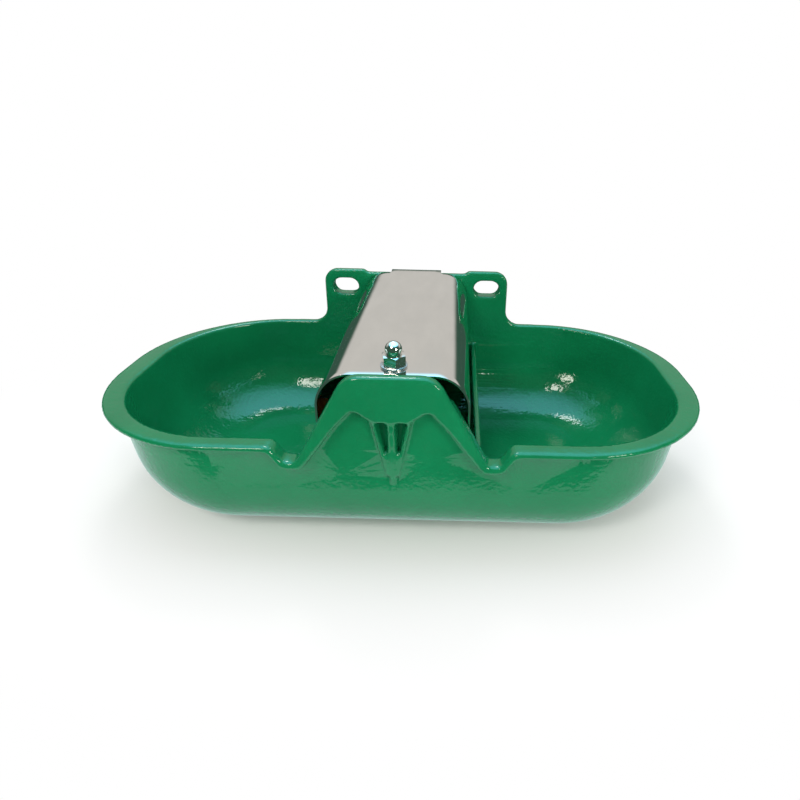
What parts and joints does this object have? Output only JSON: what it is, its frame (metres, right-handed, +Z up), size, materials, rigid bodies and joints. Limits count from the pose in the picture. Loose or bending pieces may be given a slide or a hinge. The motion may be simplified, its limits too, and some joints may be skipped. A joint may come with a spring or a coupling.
{
  "type": "livestock drinking bowl",
  "caption": "Wall-hung cast double drinking bowl for livestock, with a float valve under a polished arched cover between the two bowls.",
  "frame": {"origin": "middle of the flat underside: X on the plane of symmetry, Y half way between the front flange and the end of the inlet shank", "axes": "+X to the right along the length, +Y towards the wall, +Z up"},
  "size_m": [0.52, 0.295, 0.1728],
  "materials": {
    "enamel": "gloss enamel with a light orange peel, on cast iron",
    "stainless": "mirror polished stainless steel",
    "stainless_plain": "plain stainless steel",
    "brass": "cast and turned brass",
    "rubber": "black EPDM rubber",
    "plastic_white": "white acetal",
    "plastic_filter": "blue polyamide",
    "float_plastic": "orange polypropylene"
  },
  "bodies": {
    "bowl": {"bowl_casting": "enamel", "float_cover": "stainless", "cover_stud": "stainless_plain", "cover_washer": "stainless_plain", "cover_cap_nut": "stainless", "valve_body": "brass", "inlet_gasket": "rubber", "inlet_washer": "brass", "inlet_lock_nut": "brass", "inlet_strainer": "plastic_filter", "valve_nozzle": "plastic_white", "nozzle_ring": "rubber", "valve_cap": "brass", "pivot_pin": "stainless_plain", "pivot_split_pin": "stainless_plain"},
    "plunger": {"valve_plunger": "brass", "plunger_seal": "rubber"},
    "float_arm": {"float_lever": "stainless_plain", "adjust_screw": "brass", "adjust_lock_nut": "brass", "float_block": "float_plastic", "float_screw": "stainless_plain", "float_washer": "stainless_plain", "float_nut": "stainless_plain"}
  },
  "joints": [
    {"name": "float_swing", "type": "hinge", "parent": "bowl", "child": "float_arm", "pos_m": [0, 0.05, 0.102], "axis": [-1, 0, 0], "range_deg": [0, 15]},
    {"name": "plunger_slide", "type": "slide", "parent": "bowl", "child": "plunger", "axis": [0, 1, 0], "range_m": [0, 0.00471]}
  ],
  "couplings": [
    {"joint": "plunger_slide", "follows": "float_swing", "m_per_rad": 0.018}
  ]
}
